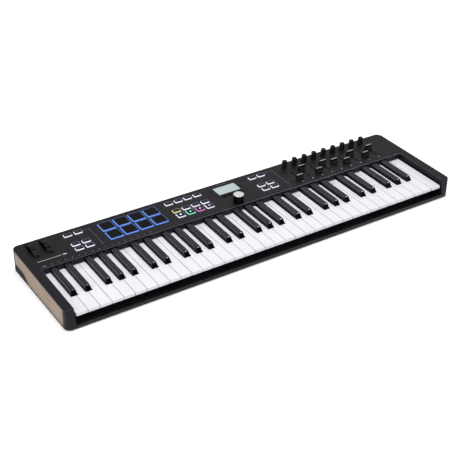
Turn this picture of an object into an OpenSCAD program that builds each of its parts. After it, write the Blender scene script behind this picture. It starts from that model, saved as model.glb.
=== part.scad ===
// 61-note keyboard controller: keybed, pads, faders, knobs, wheels and display in a wedge-shaped case.
// All sizes are millimetres. The working axes are X to the player's right, Y away from the player from
// the front edge of the white keys, and Z up from the plane of the control panel. place() leans them by
// the case's wedge angle and stands the case on its feet, centred over the origin.

/* [Case] */
// Overall width, left to right
body_w = 890; // [888:2:900]
// Front edge of the control panel
panel_front_y = 134.9; // [134.5:0.1:135.2]
// Rear face of the case
rear_y = 232.8; // [232.4:0.2:236]
// Foremost line of the case, at its foot
front_y = -5.7; // [-8:0.1:-5]
// Height of the case at its foremost line, under the plane of the panel
front_h = 40.6; // [40:0.2:43]
// Wedge angle of the case in degrees
tilt = 1.3; // [1:0.1:1.6]
// Wall thickness of the mouldings
wall = 2.4; // [2:0.1:2.6]
// Thickness of the base
base_t = 2.6; // [2.2:0.1:3]
// Plan radius of the rear corners
corner_r = 14; // [10:1:16]
// Plan radius of the front corners
front_r = 12; // [8:1:13]
// Height of the rubber feet under the base
foot_h = 2.2; // [1.6:0.2:4]

/* [Keys] */
// Pitch of the white keys
key_pitch = 23.5; // [23.4:0.05:23.5]
// Gap between neighbouring white keys
key_gap = 1.0; // [0.8:0.1:1.2]
// Top of the white keys under the plane of the panel
white_drop = 12.87; // [12.5:0.05:13.2]
// Height of a white key's front lip
lip_h = 6.2; // [5.6:0.1:6.6]
// Top of the black keys under the plane of the panel
black_drop = 3.2; // [3:0.1:4]
// Width of a black key at its foot
black_w = 12.8; // [12:0.1:13]
// Width of a black key's top
black_top_w = 9; // [8:0.5:10]
// Front of the black keys
black_front_y = 49; // [47:0.5:52]
// Distance of the pivot rod from the front edge of the keys
pivot_y = 158; // [157:0.5:159]
// Depth of the pivot rod's axis under the plane of the panel
pivot_drop = 20; // [19.5:0.1:20.5]
// Radius of the pivot rod
rod_r = 2; // [1.8:0.1:2.2]

/* [Wheels] */
// Radius of the two thumb wheels
wheel_r = 28.6; // [27:0.2:28.6]
// Height that the wheels stand above the panel
wheel_rise = 9.6; // [8:0.1:9.8]
// Width of a wheel
wheel_w = 9.9; // [8:0.1:10.2]
// Middle of the wheel slots, front to back
wheel_y = 200; // [199.5:0.1:200.2]

/* [Pads and buttons] */
// Side of a pad
pad_s = 28; // [26:0.5:28.2]
// Height of the pads above the panel
pad_h = 2.5; // [1.5:0.1:3]
// Width of a button
button_w = 16; // [14:0.5:16.2]
// Height of the buttons above the panel
button_h = 2.2; // [1.2:0.1:3]
// Gap around pads and buttons in the panel
panel_gap = 0.35; // [0.3:0.05:0.5]

/* [Knobs and faders] */
// Spacing of the nine channels
channel_pitch = 25.85; // [25:0.05:26]
// Middle of the first channel, left to right
channel_x = 171.2; // [170:0.1:172]
// Row of the small knobs
knob_y = 215; // [214:0.5:216]
// Height of a small knob
knob_h = 16; // [12:0.5:18]
// Radius of a small knob at its foot
knob_r = 6.3; // [6:0.1:7]
// Nearest position of a fader's lever to the player
fader_y0 = 158.6; // [158.2:0.1:159]
// Travel of a fader
fader_travel = 30; // [28:0.5:30]
// Width of a fader's cap
cap_w = 14.8; // [12:0.1:16]
// Radius of the main encoder's knob
encoder_r = 11; // [9:0.5:12]
// Height of the main encoder's knob
encoder_h = 17; // [12:0.5:20]

/* [Display] */
// Width of the display window
window_w = 53; // [52:0.5:54]
// Front-to-back size of the display window
window_d = 29.4; // [29:0.2:30]

/* [Hidden] */

hw = body_w / 2;
st = sin(tilt);
ct = cos(tilt);
function zbot(y) = -front_h - tan(tilt) * (y - front_y);
off_z = foot_h + front_h * ct - front_y * st;
lip_z = -34.2;
shelf_z = -36;
// the rear foot of the case and the lip at its front are the furthest points front to back
rear_row = rear_y * ct - zbot(rear_y) * st;
front_row = front_y * ct - lip_z * st;
off_y = -(rear_row + front_row) / 2;
module place() { translate([0, off_y, off_z]) rotate([tilt, 0, 0]) children(); }

// keybed
well_x = 426;
octave = 7 * key_pitch;
keys_x0 = -18 * key_pitch;
run = 0.05;
white_low = -white_drop - lip_h;
tail_top = -14.5;
tail_low = -24;
tail_end = 168;
black_mid = [21.15, 49.35, 90.64, 117.5, 144.36];
half_slot = black_w / 2 + 0.9;
hg = key_gap / 2;
// left and right edges of the seven white tails, from the left edge of the octave
tails = [
  [hg, black_mid[0] - half_slot], [black_mid[0] + half_slot, black_mid[1] - half_slot],
  [black_mid[1] + half_slot, 3 * key_pitch - hg], [3 * key_pitch + hg, black_mid[2] - half_slot],
  [black_mid[2] + half_slot, black_mid[3] - half_slot], [black_mid[3] + half_slot, black_mid[4] - half_slot],
  [black_mid[4] + half_slot, 7 * key_pitch - hg]
];
// room beside the rod supports, taken from the tails at the pivot
rear_cut = [[2, 0.3], [0.3, 0.3], [0.3, 2], [2, 0.3], [0.3, 0.3], [0.3, 0.3], [0.3, 2]];
supports = concat([for (o = [0:4]) each [o * octave, o * octave + 3 * key_pitch]], [5 * octave, 5 * octave + key_pitch]);
black_x = [for (o = [0:4]) each [for (b = black_mid) keys_x0 + o * octave + b]];

// controls
channels = [for (i = [0:8]) channel_x + i * channel_pitch];
fader_at = [0, 30, 1.8, 24.1, 17, 5.6, 27.2, 6.5, 27.6];
pad_x = [-258.2, -225.4, -192.6, -159.8];
pad_y = [171.4, 204.3];
left_b = [for (x = [-336.8, -314.8]) each [[x, 214, 10], [x, 178.5, 10], [x, 162, 10]]];
mid_b = [for (x = [-114.7, -92.3, -70.4, -48.3]) each [[x, 213.6, 10.4], [x, 182.4, 10.4], [x, 165, 16]]];
right_b = [for (x = [87, 109]) each [[x, 213, 10], [x, 178.3, 10], [x, 161.4, 10]]];
disp_b = [-2.6, 10.6, 23.7, 36.6];
disp_b_y = 177.4;
disp_c = [17.35, 203.5];
enc = [12, 150];
wheel_x = [-415.65, -387.95];
wheel_z = wheel_rise - wheel_r;
slot_w = 11.3;
slot_l = 51;
usb = [-335, -35.2];
midi = [-298, -27];
pedal = [-262, -27];
plate_z = -34;
board_z = -11;
main_z = -36.8;
rear_bosses = [-370, -120, 130, 404];
cheek_bosses = [14, 76, 128];
board_posts = [[-289, 172], [-289, 213], [-134, 172], [-134, 213], [63, 190], [64, 213.5], [146, 172], [146, 213], [404, 172], [404, 205]];
frame_posts = [for (x = [-380, -175, 10, 190, 380]) each [[x, 52], [x, 140]]];
feet = [[-400, 14], [0, 14], [400, 14], [-400, 206], [0, 206], [400, 206]];

module box(x0, x1, y0, y1, z0, z1) { translate([x0, y0, z0]) cube([x1 - x0, y1 - y0, z1 - z0]); }
module rrect(x0, x1, y0, y1, r) {
  union() {
    translate([x0 + r, y0]) square([x1 - x0 - 2 * r, y1 - y0]);
    translate([x0, y0 + r]) square([x1 - x0, y1 - y0 - 2 * r]);
    for (x = [x0 + r, x1 - r]) for (y = [y0 + r, y1 - r]) translate([x, y]) circle(r, $fn = 48);
  }
}
module rbox(x0, x1, y0, y1, z0, z1, r) { translate([0, 0, z0]) linear_extrude(z1 - z0) rrect(x0, x1, y0, y1, r); }
// a prism along X from a profile in Y and Z
module prism_x(x0, x1) { translate([x0, 0, 0]) rotate([90, 0, 90]) linear_extrude(x1 - x0) children(); }
// a prism along Y from a profile in X and Z
module prism_y(y0, y1) { translate([0, y1, 0]) rotate([90, 0, 0]) linear_extrude(y1 - y0) children(); }
module cyl_x(x0, x1, y, z, r) { translate([x0, y, z]) rotate([0, 90, 0]) cylinder(h = x1 - x0, r = r, $fn = 48); }
module cyl_y(x, y0, y1, z, r) { translate([x, y1, z]) rotate([90, 0, 0]) cylinder(h = y1 - y0, r = r, $fn = 48); }
module both_x() { children(); mirror([1, 0, 0]) children(); }
// plan of the case, drawn in by d
module plan(d = 0) {
  y0 = front_y + d;
  y1 = rear_y - d;
  x1 = hw - d;
  r = corner_r - d;
  q = front_r - d;
  union() {
    translate([-x1, y0 + q]) square([2 * x1, y1 - y0 - q - r]);
    translate([-x1 + r, y0 + q]) square([2 * (x1 - r), y1 - y0 - q]);
    translate([-x1 + q, y0]) square([2 * (x1 - q), q + 1]);
    for (x = [-x1 + r, x1 - r]) translate([x, y1 - r]) circle(r, $fn = 64);
    for (x = [-x1 + q, x1 - q]) translate([x, y0 + q]) circle(q, $fn = 64);
  }
}
// everything under the line where the base meets the top case, seen from the side
module under_split(lift = 0) {
  prism_x(-hw - 5, hw + 5) polygon([
    [-30, zbot(-30) + base_t + lift], [156, zbot(156) + base_t + lift], [176.6, -28.6 + lift], [260, -28.6 + lift],
    [260, -80], [-30, -80]]);
}
module wood_outline(g) {
  polygon([[8 + g, -2.2 - g], [216 - g, -2.2 - g], [216 - g, -28 + g], [176 + g * 0.6, -28 + g],
    [157 + g * 0.6, zbot(157) + 3.8 + g], [9.4 + g, zbot(9.4) + 3.8 + g]]);
}

module panel_holes() {
  for (x = wheel_x) rbox(x - slot_w / 2, x + slot_w / 2, wheel_y - slot_l / 2, wheel_y + slot_l / 2, -12, 1, 0.6);
  for (x = pad_x) for (y = pad_y) {
    s = pad_s / 2 + panel_gap;
    rbox(x - s, x + s, y - s, y + s, -12, 1, 1.6);
  }
  for (b = concat(left_b, mid_b, right_b)) {
    w = button_w / 2 + panel_gap;
    d = b[2] / 2 + panel_gap;
    rbox(b[0] - w, b[0] + w, b[1] - d, b[1] + d, -12, 1, 1.2);
  }
  for (x = disp_b) translate([x, disp_b_y, -12]) linear_extrude(13) half_pill(5.3, 6.0, 3.2);
  box(disp_c[0] - window_w / 2, disp_c[0] + window_w / 2, disp_c[1] - window_d / 2, disp_c[1] + window_d / 2, -12, 1);
  translate([enc[0], enc[1], -12]) cylinder(h = 13, r = 4.7, $fn = 48);
  for (x = channels) {
    translate([x, knob_y, -12]) cylinder(h = 13, r = 4.4, $fn = 48);
    box(x - 1, x + 1, fader_y0 - 3.5, fader_y0 + fader_travel + 3.6, -12, 1);
  }
  for (x = [-15, 52]) box(x - 0.35, x + 0.35, panel_front_y - 1, rear_y - 1.2, -0.5, 1);
}
// a D shape: flat at the back, round at the front
module half_pill(w, d, r) {
  union() {
    translate([-w, r]) square([2 * w, d - r]);
    translate([-w + r, 0]) square([2 * (w - r), d]);
    for (x = [-w + r, w - r]) translate([x, r]) circle(r, $fn = 48);
  }
}

module top_case() {
  color("#2b2a2d") place() {
    difference() {
      intersection() {
        translate([0, 0, -60]) linear_extrude(60) plan();
        prism_x(-hw, hw) polygon([[1.5, 0], [0.1, -1], [-5.2, -33.4], [front_y, -35.2], [front_y, -60], [rear_y, -60], [rear_y, -0.8], [rear_y - 0.8, 0]]);
      }
      under_split();
      // key well, open at the front above the lip, and through the case behind the shelf
      box(-well_x, well_x, -3.2, panel_front_y, shelf_z, 5);
      box(-well_x, well_x, -20, 0, lip_z, 5);
      box(-well_x, well_x, 22, panel_front_y + wall, -80, -10.8);
      box(-well_x, well_x, 22, panel_front_y, -80, 5);
      box(-well_x - wall, well_x + wall, -3.2, 22, -80, shelf_z - 2);
      // hollow under the panel
      translate([0, 0, -80]) linear_extrude(77) intersection() {
        plan(wall);
        translate([-439.1, panel_front_y + wall]) square([878.2, 200]);
      }
      // hollow cheeks
      both_x() box(well_x + wall, 439.1, 1, panel_front_y + wall + 0.1, -80, -2.6);
      // seats of the wood panels
      both_x() prism_x(441.5, hw + 5) wood_outline(-0.15);
      // notches that the black keys pass through
      for (x = black_x) box(x - 7.5, x + 7.5, panel_front_y - 0.5, 140.8, -12, -1.6);
      // the base carries the rear wall between the corners
      box(-424, 424, rear_y - 3.5, rear_y + 1, -80, -13);
      panel_holes();
    }
    for (x = rear_bosses) boss(x, 225);
    both_x() for (y = cheek_bosses) boss(433.8, y);
    for (p = board_posts) difference() {
      translate([p[0], p[1], board_z]) cylinder(h = -board_z - 2.8, r = 3, $fn = 32);
      translate([p[0], p[1], board_z - 1]) cylinder(h = 6, r = 1.1, $fn = 32);
    }
  }
}
module boss(x, y) {
  z0 = zbot(y) + base_t + 0.1;
  difference() {
    translate([x, y, z0]) cylinder(h = -z0 - 2.4, r = 3.4, $fn = 32);
    translate([x, y, z0 - 1]) cylinder(h = 14, r = 1.5, $fn = 32);
  }
}

module bottom_case() {
  color("#1c1b1e") place() difference() {
    union() {
      // base
      intersection() {
        translate([0, 0, -60]) linear_extrude(60) plan();
        prism_x(-hw, hw) polygon([[-30, zbot(-30)], [-30, zbot(-30) + base_t - 0.1], [260, zbot(260) + base_t - 0.1], [260, zbot(260)]]);
      }
      // side walls behind the wood, and the corners
      intersection() {
        difference() {
          translate([0, 0, -60]) linear_extrude(60) plan();
          translate([0, 0, -61]) linear_extrude(62) intersection() { plan(wall); square([2 * 441, 600], center = true); }
        }
        difference() {
          prism_x(-hw - 1, hw + 1) polygon([[150, -60], [150, zbot(150) + base_t - 0.1], [156, zbot(156) + base_t - 0.1],
            [176.6, -28.7], [260, -28.7], [260, -60]]);
          prism_x(-hw - 2, hw + 2) polygon([[100, -70], [270, -70], [270, zbot(270) + 0.05], [100, zbot(100) + 0.05]]);
        }
      }
      // rear wall with the sockets
      intersection() {
        box(-423.9, 423.9, rear_y - wall, rear_y, -60, -13.1);
        prism_x(-hw, hw) polygon([[200, 0], [200, zbot(200) + 0.05], [240, zbot(240) + 0.05], [240, 0]]);
      }
      // posts for the key frame and the main board
      for (p = frame_posts) post(p[0], p[1], plate_z - 2, 4);
      for (x = [-345, -200]) for (y = [199, 226]) post(x, y, main_z - 1.6, 3);
    }
    // ribbed grip at the rear of each side
    both_x() for (i = [0:4]) prism_x(hw - 0.9, hw + 1)
      polygon([[179 - i * 3.4, -31.6 - i * 2.5], [218, -31.6 - i * 2.5], [218, -32.8 - i * 2.5], [177.4 - i * 3.4, -32.8 - i * 2.5]]);
    for (x = rear_bosses) screw_hole(x, 225);
    both_x() for (y = cheek_bosses) screw_hole(433.8, y);
    for (p = feet) translate([p[0], p[1], zbot(p[1])]) rotate([-tilt, 0, 0]) translate([0, 0, -3]) cylinder(h = 3.6, r = 8.1, $fn = 48);
    // vents
    for (i = [0:7]) box(96 + i * 9, 100 + i * 9, 178, 196, -60, -30);
    // openings for the sockets and the lock
    rbox_y(usb[0], usb[1], 4.9, 2.0, 1.9, rear_y - 6, rear_y + 1);
    cyl_y(midi[0], rear_y - 6, rear_y + 1, midi[1], 8.2);
    cyl_y(pedal[0], rear_y - 6, rear_y + 1, pedal[1], 5.6);
    rbox_y(382, -30, 3.5, 1.6, 1.4, rear_y - 6, rear_y + 1);
  }
}
module rbox_y(x, z, a, b, r, y0, y1) { prism_y(y0, y1) rrect(x - a, x + a, z - b, z + b, r); }
module post(x, y, top, r) {
  z0 = zbot(y) + base_t - 0.5;
  difference() {
    translate([x, y, z0]) cylinder(h = top - z0, r = r, $fn = 32);
    translate([x, y, top - 5]) cylinder(h = 6, r = 1.15, $fn = 32);
  }
}
module screw_hole(x, y) {
  translate([x, y, -60]) cylinder(h = 40, r = 1.7, $fn = 32);
  translate([x, y, zbot(y) - 2]) cylinder(h = 3.4, r = 3.2, $fn = 32);
}

module left_wood_panel() { color("#b09a86") place() prism_x(-hw, -441.6) wood_outline(0); }
module right_wood_panel() { color("#b09a86") place() prism_x(441.6, hw) wood_outline(0); }

module key_frame() {
  color("#8a8c90") place() difference() {
    union() {
      box(-424.6, 424.6, 24, 169, plate_z - 2, plate_z);
      box(-424.6, 424.6, 25, 39, plate_z - 0.1, -31);
      for (s = supports) prism_x(keys_x0 + s - 1.2, keys_x0 + s + 1.2)
        polygon([[140, plate_z - 0.1], [168, plate_z - 0.1], [165.5, -16], [150.5, -16], [150.5, -13.6], [143, -13.6]]);
    }
    cyl_x(-430, 430, pivot_y, -pivot_drop, rod_r + 0.03);
    for (p = frame_posts) translate([p[0], p[1], -50]) cylinder(h = 30, r = 1.3, $fn = 32);
  }
}
module key_pivot_rod() { color("#c8c9cc") place() cyl_x(-425.2, 425.2, pivot_y, -pivot_drop, rod_r); }
function key_mid(k) = let(o = floor(k / 12), n = k % 12, w = [0, 0, 1, 1, 2, 3, 3, 4, 4, 5, 5, 6][n])
  keys_x0 + o * octave + (is_black(n) ? black_mid[black_no(n)] : (tails[w][0] + tails[w][1]) / 2);
function is_black(n) = n == 1 || n == 3 || n == 6 || n == 8 || n == 10;
function black_no(n) = n == 1 ? 0 : n == 3 ? 1 : n == 6 ? 2 : n == 8 ? 3 : 4;

module key_springs() {
  color("#b9a46a") place() union() {
    box(-424.4, 424.4, 143, 150.2, -13.5, -13.1);
    for (k = [0:60]) box(key_mid(k) - 2.5, key_mid(k) + 2.5, 150, 166, -13.5, -13.1);
  }
}
module key_contact_board() { color("#1f5a3a") place() box(-422, 422, 70, 112, plate_z, plate_z + 1.6); }
module key_contact_strips() {
  color("#5a5c60") place() for (o = [0:5]) {
    k0 = o * 12;
    k1 = min(k0 + 11, 60);
    union() {
      box(key_mid(k0) - 6.5, key_mid(k1) + 6.5, 82, 98, plate_z + 1.6, plate_z + 2.6);
      for (k = [k0:k1]) translate([key_mid(k), 90, plate_z + 2.5]) cylinder(h = 4.1, r1 = 4.6, r2 = 3.2, $fn = 32);
    }
  }
}
module key_felts() { color("#7a2430") place() box(-424, 424, 26, 38, -31, -28.7); }

module key_block(x0, x1, l, r) {
  box(x0 + l, x1 - r, 131, tail_end, tail_low, tail_top);
}
module white_key(i) {
  o = floor(i / 7);
  w = i % 7;
  x0 = keys_x0 + i * key_pitch + hg;
  x1 = x0 + key_pitch - key_gap;
  xo = keys_x0 + o * octave;
  tl = xo + tails[w][0];
  tr = i == 35 ? x1 : xo + tails[w][1];
  difference() {
    union() {
      difference() {
        union() {
          box(x0, x1, 0, black_front_y - 0.9, white_low, -white_drop);
          box(tl, tr, black_front_y - 2, 139, white_low, -white_drop);
        }
        box(x0 + 1.7, x1 - 1.7, 2, black_front_y - 2.6, white_low - 1, -white_drop - 2);
        box(tl + 1.7, tr - 1.7, black_front_y - 2.8, 131, white_low - 1, -white_drop - 2);
      }
      box(tl + 1, tr - 1, 87, 93, -22.4, -white_drop - 1);
      key_block(tl, tr, rear_cut[w][0], i == 35 ? 2 : rear_cut[w][1]);
    }
    cyl_x(x0 - 5, x1 + 5, pivot_y, -pivot_drop, rod_r + run);
  }
}
module black_key(x) {
  a = black_w / 2;
  b = black_top_w / 2;
  difference() {
    union() {
      intersection() {
        prism_y(black_front_y - 1, 139) polygon([[x - a, white_low - 1], [x + a, white_low - 1], [x + a, -white_drop], [x + b, -black_drop], [x - b, -black_drop], [x - a, -white_drop]]);
        prism_x(x - 10, x + 10) polygon([[black_front_y, -30], [139, -30], [139, 0], [black_front_y + 7.2, 0], [black_front_y + 5.6, -black_drop], [black_front_y, -white_drop]]);
      }
    }
    box(x - 3.4, x + 3.4, black_front_y + 7, 130, -30, -6);
  }
  difference() {
    union() {
      box(x - 4.4, x + 4.4, 87, 93, -22.4, -8);
      box(x - 5.2, x + 5.2, 129.5, tail_end, tail_low, tail_top);
    }
    cyl_x(x - 9, x + 9, pivot_y, -pivot_drop, rod_r + run);
  }
}
module whites(n, last = 4) { color("#f6f5fa") place() for (o = [0:last]) white_key(7 * o + n); }
module blacks(n) { color("#1a191c") place() for (o = [0:4]) union() black_key(keys_x0 + o * octave + black_mid[n]); }
module c_keys() { whites(0, 5); }
module d_keys() { whites(1); }
module e_keys() { whites(2); }
module f_keys() { whites(3); }
module g_keys() { whites(4); }
module a_keys() { whites(5); }
module b_keys() { whites(6); }
module c_sharp_keys() { blacks(0); }
module d_sharp_keys() { blacks(1); }
module f_sharp_keys() { blacks(2); }
module g_sharp_keys() { blacks(3); }
module a_sharp_keys() { blacks(4); }

module control_board() {
  color("#1f5a3a") place() difference() {
    box(-354, 414, 141.4, 219.6, board_z - 1.6, board_z);
    for (p = board_posts) translate([p[0], p[1], board_z - 3]) cylinder(h = 5, r = 1.25, $fn = 32);
  }
}
module main_board() {
  color("#1f5a3a") place() {
    difference() {
      box(-350, -180, 194, 229.6, main_z - 1.6, main_z);
      for (x = [-345, -200]) for (y = [199, 226]) translate([x, y, main_z - 3]) cylinder(h = 5, r = 1.35, $fn = 32);
    }
    // processor and memory
    box(-240, -228, 208, 220, main_z, main_z + 1.2);
    box(-222, -212, 210, 218, main_z, main_z + 1);
  }
}
module panel_control_bodies() {
  color("#9a9ca0") place() {
    for (x = channels) {
      // slide potentiometer
      difference() {
        box(x - 4.2, x + 4.2, fader_y0 - 6.6, fader_y0 + fader_travel + 6.6, board_z, -4.2);
        box(x - 1, x + 1, fader_y0 - 3.5, fader_y0 + fader_travel + 3.6, board_z + 1, 0);
      }
      // rotary encoder with its bush
      encoder_body([x, knob_y], 5.2, 4.1);
    }
    encoder_body(enc, 6.2, 4.4);
  }
}
module encoder_body(p, s, b) {
  difference() {
    union() {
      box(p[0] - s, p[0] + s, p[1] - min(s, 4.6), p[1] + min(s, 4.6), board_z, -4.6);
      translate([p[0], p[1], -4.7]) cylinder(h = 4.5, r = b, $fn = 48);
    }
    translate([p[0], p[1], board_z + 0.4]) cylinder(h = 20, r = 3 + run, $fn = 48);
  }
}
module display_module() {
  color("#c5d5d3") place() {
    box(disp_c[0] - 30, disp_c[0] + 30, disp_c[1] - 15.6, disp_c[1] + 15.6, -6.8, -3.1);
    box(disp_c[0] - 25.6, disp_c[0] + 25.6, disp_c[1] - 13.6, disp_c[1] + 13.6, -3.2, -1.7);
    for (x = [-27, 27]) for (y = [-12, 12]) translate([disp_c[0] + x, disp_c[1] + y, board_z]) cylinder(h = 4.3, r = 1.6, $fn = 24);
  }
}
module display_window() {
  color("#9fb0b0", 0.4) place() box(disp_c[0] - window_w / 2 + 0.1, disp_c[0] + window_w / 2 - 0.1, disp_c[1] - window_d / 2 + 0.1, disp_c[1] + window_d / 2 - 0.1, -1.6, -0.15);
}

module wheel_cradle() {
  color("#3a3b3e") place() union() {
    box(-423.9, -379.8, 184, 216, -42, -40);
    for (x = [-423.2, -408.2, -395.4, -380.4]) prism_x(x - 0.7, x + 0.7)
      polygon([[186, -40.5], [214, -40.5], [206, wheel_z + 6], [194, wheel_z + 6]]);
    for (x = [-423.9, -396]) cyl_x(x, x + 16.2, wheel_y, wheel_z, 2);
  }
}
// a fan-shaped thumb wheel, its notch a degrees to the front; the fan spans front and rear degrees from upright
module thumb_wheel(x, a, front, rear) {
  translate([x - wheel_w / 2, wheel_y, wheel_z]) rotate([90, 0, 90]) difference() {
    union() {
      intersection() {
        cylinder(h = wheel_w, r = wheel_r, $fn = 128);
        rotate([0, 0, 90]) linear_extrude(wheel_w) polygon([[-3, 0], [60 * cos(front), 60 * sin(front)], [60, 60], [60, -60], [60 * cos(rear), -60 * sin(rear)]]);
      }
      cylinder(h = wheel_w, r = 6.5, $fn = 48);
    }
    translate([0, 0, -1]) cylinder(h = wheel_w + 2, r = 2 + run, $fn = 48);
    // lightened between hub and rim
    for (z = [-1, wheel_w - 3]) translate([0, 0, z]) intersection() {
      difference() {
        cylinder(h = 4, r = wheel_r - 3.4, $fn = 96);
        translate([0, 0, -1]) cylinder(h = 6, r = 8.5, $fn = 48);
      }
      rotate([0, 0, 90]) linear_extrude(4) polygon([[2, 0], [60 * cos(70), 60 * sin(70)], [60, 60], [60, -60], [60 * cos(70), -60 * sin(70)]]);
    }
    // finger notch across the rim
    rotate([0, 0, a]) translate([0, wheel_r + 2.4, -1]) cylinder(h = wheel_w + 2, r = 5.2, $fn = 64);
  }
}
module pitch_wheel() { color("#232225") place() thumb_wheel(wheel_x[0], 22, 88, 88); }
module mod_wheel() { color("#232225") place() thumb_wheel(wheel_x[1], 31, 106, 78); }

module main_encoder_spindle() { color("#b8b9bd") place() translate([enc[0], enc[1], -9.6]) cylinder(h = 23.6, r = 3, $fn = 48); }
module main_encoder_knob() {
  color("#1d1c1f") place() translate([enc[0], enc[1], 0]) difference() {
    translate([0, 0, 1.3]) cylinder(h = encoder_h - 2.5, r = encoder_r - 0.2, $fn = 96);
    translate([0, 0, -1]) cylinder(h = encoder_h - 1.8, r = 3 + run, $fn = 48);
    for (i = [0:17]) rotate([0, 0, i * 20]) translate([encoder_r + 0.5, 0, 2.4]) cylinder(h = 30, r = 1.15, $fn = 24);
  }
}
module main_encoder_cap() {
  color("#d5d6d9") place() translate([enc[0], enc[1], encoder_h - 1.2]) rotate_extrude($fn = 96)
    polygon([[0, 0], [encoder_r - 0.1, 0], [encoder_r - 0.1, 0.8], [encoder_r - 0.6, 1.2], [encoder_r - 2, 1.2], [encoder_r - 3, 1], [0, 0.9]]);
}

module fader(i) {
  y = fader_y0 + fader_at[i];
  color("#242326") place() translate([channels[i], y, 0]) union() {
    box(-0.6, 0.6, -2, 2, -9.4, 3);
    prism_x(-cap_w / 2, cap_w / 2) polygon([[-5, 1], [5, 1], [5, 2.6], [3.4, 5], [2.2, 8], [1.8, 11], [1.5, 11.4], [-1.5, 11.4], [-1.8, 11], [-2.2, 8], [-3.4, 5], [-5, 2.6]]);
  }
}
module fader_1() { fader(0); }
module fader_2() { fader(1); }
module fader_3() { fader(2); }
module fader_4() { fader(3); }
module fader_5() { fader(4); }
module fader_6() { fader(5); }
module fader_7() { fader(6); }
module fader_8() { fader(7); }
module fader_9() { fader(8); }

module knob(i) {
  color("#242326") place() translate([channels[i], knob_y, 0]) union() {
    translate([0, 0, -9.6]) cylinder(h = 14, r = 3, $fn = 48);
    difference() {
      translate([0, 0, 0.7]) rotate_extrude($fn = 72) polygon([[0, 0], [knob_r, 0], [knob_r, 1.2], [knob_r - 0.2, 1.7], [5.5, knob_h - 1.6], [5.1, knob_h - 0.5], [4.4, knob_h], [0, knob_h]]);
      // flat that shows which way the knob points
      rotate([-6, 0, 0]) box(-9, 9, -12, -5.3, 2.6, 30);
    }
  }
}
module knob_1() { knob(0); }
module knob_2() { knob(1); }
module knob_3() { knob(2); }
module knob_4() { knob(3); }
module knob_5() { knob(4); }
module knob_6() { knob(5); }
module knob_7() { knob(6); }
module knob_8() { knob(7); }
module knob_9() { knob(8); }

module drum_pads() {
  s = pad_s / 2;
  color("#26262b") place() for (x = pad_x) for (y = pad_y) union() {
    rbox(x - s, x + s, y - s, y + s, -9.7, pad_h, 1.4);
    box(x - s - 1.1, x + s + 1.1, y - s + 3, y + s - 3, -5.6, -4.2);
  }
}
module button(b) {
  w = button_w / 2;
  d = b[2] / 2;
  union() {
    rbox(b[0] - w, b[0] + w, b[1] - d, b[1] + d, -5, button_h, 1);
    box(b[0] - w - 1.1, b[0] + w + 1.1, b[1] - d + 1.5, b[1] + d - 1.5, -5.6, -4.2);
    box(b[0] - 2, b[0] + 2, b[1] - 2, b[1] + 2, -9.7, -4.5);
  }
}
module left_buttons() { color("#26262b") place() for (b = left_b) button(b); }
module transport_buttons() { color("#26262b") place() for (b = mid_b) button(b); }
module right_buttons() { color("#26262b") place() for (b = right_b) button(b); }
module display_buttons() {
  color("#1d1c1f") place() for (x = disp_b) translate([x, disp_b_y, 0]) union() {
    translate([0, 0.3, -5]) linear_extrude(6.4) half_pill(5, 5.4, 3);
    box(-1.5, 1.5, 1.5, 4.5, -9.7, -4.5);
    box(-6, 6, 2.5, 4.2, -5.6, -4.2);
  }
}

module rear_sockets() {
  color("#2a2a2e") place() {
    // USB-C receptacle
    difference() {
      rbox_y(usb[0], usb[1], 4.5, 1.6, 1.5, rear_y - 8.6, rear_y - 0.5);
      rbox_y(usb[0], usb[1], 4.1, 1.2, 1.1, rear_y - 7.6, rear_y);
    }
    box(usb[0] - 3.3, usb[0] + 3.3, rear_y - 7.7, rear_y - 2, usb[1] - 0.3, usb[1] + 0.3);
    // five-pin MIDI socket
    difference() {
      union() {
        box(midi[0] - 9.6, midi[0] + 9.6, rear_y - 17, rear_y - wall - 0.3, main_z, midi[1] + 9.6);
        cyl_y(midi[0], rear_y - 6, rear_y - 0.2, midi[1], 8);
      }
      cyl_y(midi[0], rear_y - 8.2, rear_y + 1, midi[1], 6.75);
      for (a = [-90, -45, 0, 45, 90]) cyl_y(midi[0] + 4.4 * sin(a), rear_y - 15, rear_y - 7, midi[1] - 4.4 * cos(a), 0.75);
    }
    // 6.35 mm pedal jack
    difference() {
      union() {
        box(pedal[0] - 8, pedal[0] + 8, rear_y - 28, rear_y - wall - 0.3, main_z, pedal[1] + 7.6);
        cyl_y(pedal[0], rear_y - 6, rear_y - 0.2, pedal[1], 5.4);
      }
      cyl_y(pedal[0], rear_y - 26.2, rear_y + 1, pedal[1], 3.2);
    }
  }
}

module rubber_feet() {
  color("#161617") place() for (p = feet) translate([p[0], p[1], zbot(p[1])]) rotate([-tilt, 0, 0])
    translate([0, 0, -foot_h]) union() {
      cylinder(h = 0.6, r1 = 7.4, r2 = 7.9, $fn = 48);
      translate([0, 0, 0.55]) cylinder(h = foot_h, r = 7.9, $fn = 48);
    }
}
module screw(x, y, z, head, l, r, up) {
  // head against z, shank going up or down
  translate([x, y, z]) mirror([0, 0, up ? 0 : 1]) union() {
    translate([0, 0, -1.3]) cylinder(h = 1.3, r = head, $fn = 32);
    translate([0, 0, -0.1]) cylinder(h = l + 0.1, r = r, $fn = 32);
  }
}
module screws() {
  color("#55565a") place() {
    for (x = rear_bosses) screw(x, 225, zbot(225) + 1.4, 2.9, 11, 1.45, true);
    both_x() for (y = cheek_bosses) screw(433.8, y, zbot(y) + 1.4, 2.9, 11, 1.45, true);
    for (p = board_posts) screw(p[0], p[1], board_z - 1.6, 2.1, 5, 1.05, true);
    for (p = frame_posts) screw(p[0], p[1], plate_z, 2.4, 4.8, 1.1, false);
    for (x = [-345, -200]) for (y = [199, 226]) screw(x, y, main_z, 2.2, 5, 1.1, false);
  }
}
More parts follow.
